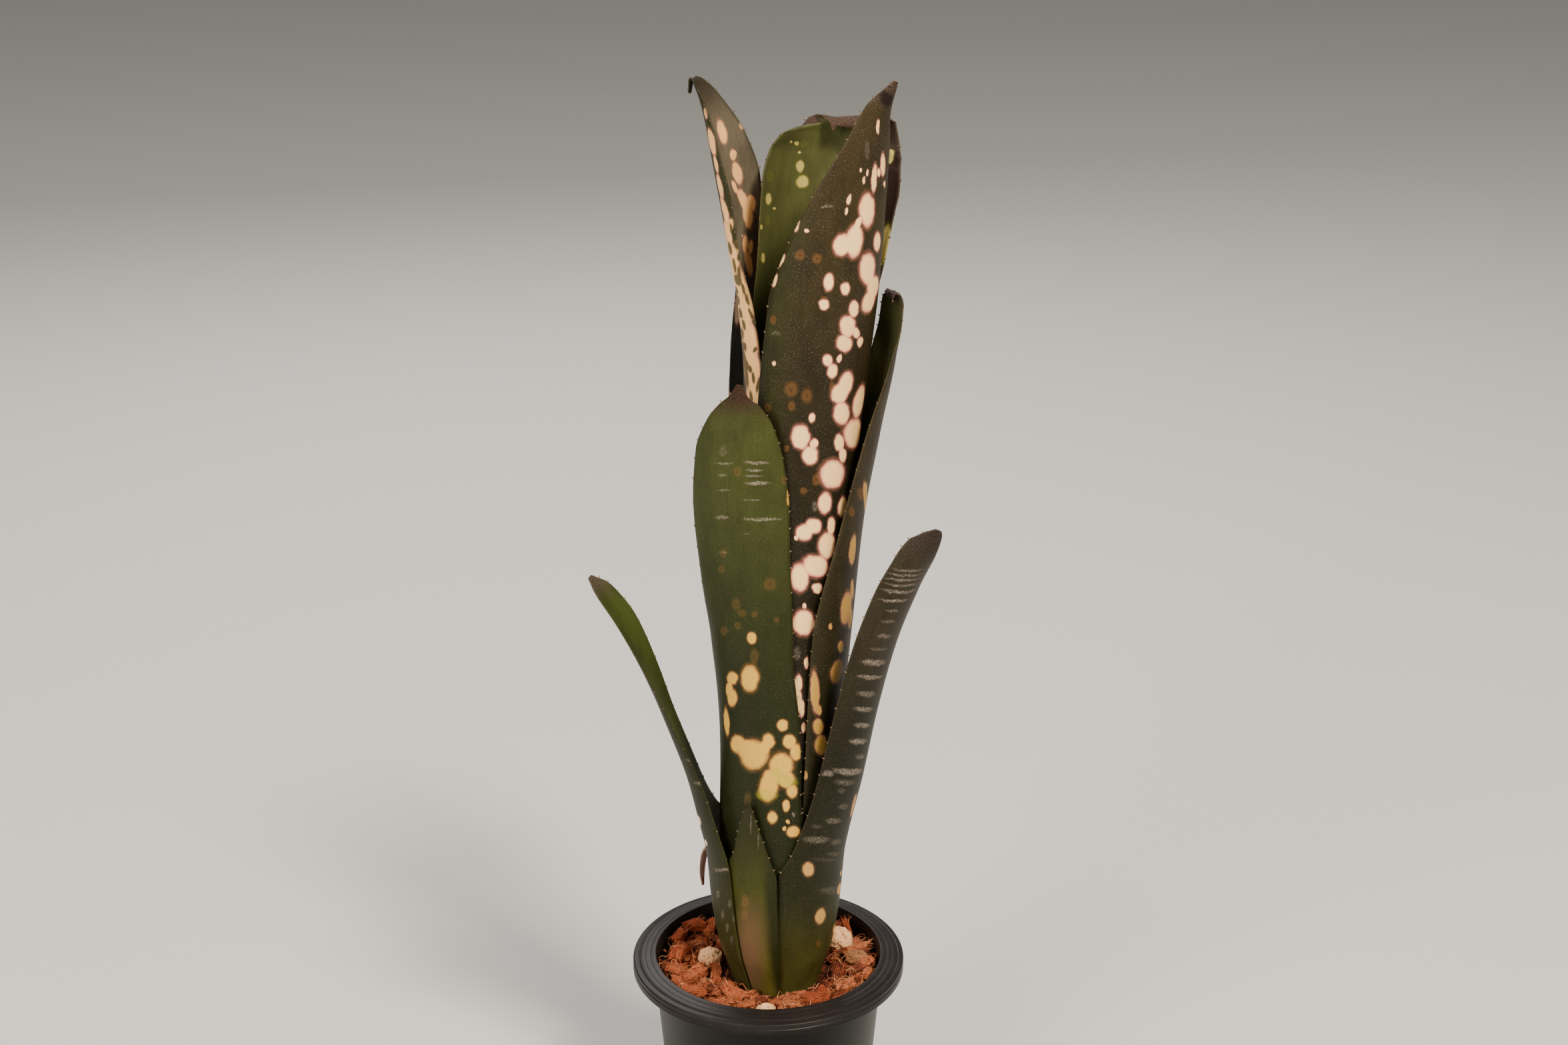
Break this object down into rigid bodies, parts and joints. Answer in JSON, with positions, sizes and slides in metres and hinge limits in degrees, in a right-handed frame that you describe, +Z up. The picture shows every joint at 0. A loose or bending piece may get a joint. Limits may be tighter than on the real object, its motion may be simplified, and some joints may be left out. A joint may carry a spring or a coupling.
{
  "type": "potted kolan candy cup billbergia",
  "caption": "Tall tube-shaped bromeliad with spine-edged, cream-spotted and silver-banded strap leaves, growing in a round black nursery pot of husk chips and pumice.",
  "frame": {"origin": "middle of the pot's flat underside, on the pot's axis", "axes": "+Z up, out of the pot's mouth; +X to the right and +Y away in the picture's view, so the plant's front faces -Y"},
  "size_m": [0.1348, 0.11, 0.4469],
  "materials": {
    "pot_plastic": "satin",
    "husk_chips": "matte",
    "pumice": "matte",
    "brown_stone": "matte",
    "stem": "matte",
    "leaf_olive": "satin",
    "leaf_green": "satin",
    "leaf_banded": "satin",
    "leaf_dark": "satin",
    "leaf_spotted": "satin",
    "leaf_dry": "matte"
  },
  "bodies": {
    "root": {"pot": "pot_plastic", "potting_mix": "husk_chips", "pumice_right": "pumice", "pumice_left": "pumice", "pumice_front": "pumice", "stone_brown": "brown_stone", "stem": "stem", "leaf_front_short": "leaf_olive", "leaf_left_low": "leaf_green", "leaf_right_low": "leaf_banded", "leaf_front": "leaf_olive", "leaf_right": "leaf_dark", "leaf_back_left": "leaf_dark", "leaf_tall_right": "leaf_spotted", "leaf_tall_left": "leaf_spotted", "leaf_tall_back": "leaf_green", "leaf_dried": "leaf_dry"}
  },
  "joints": []
}
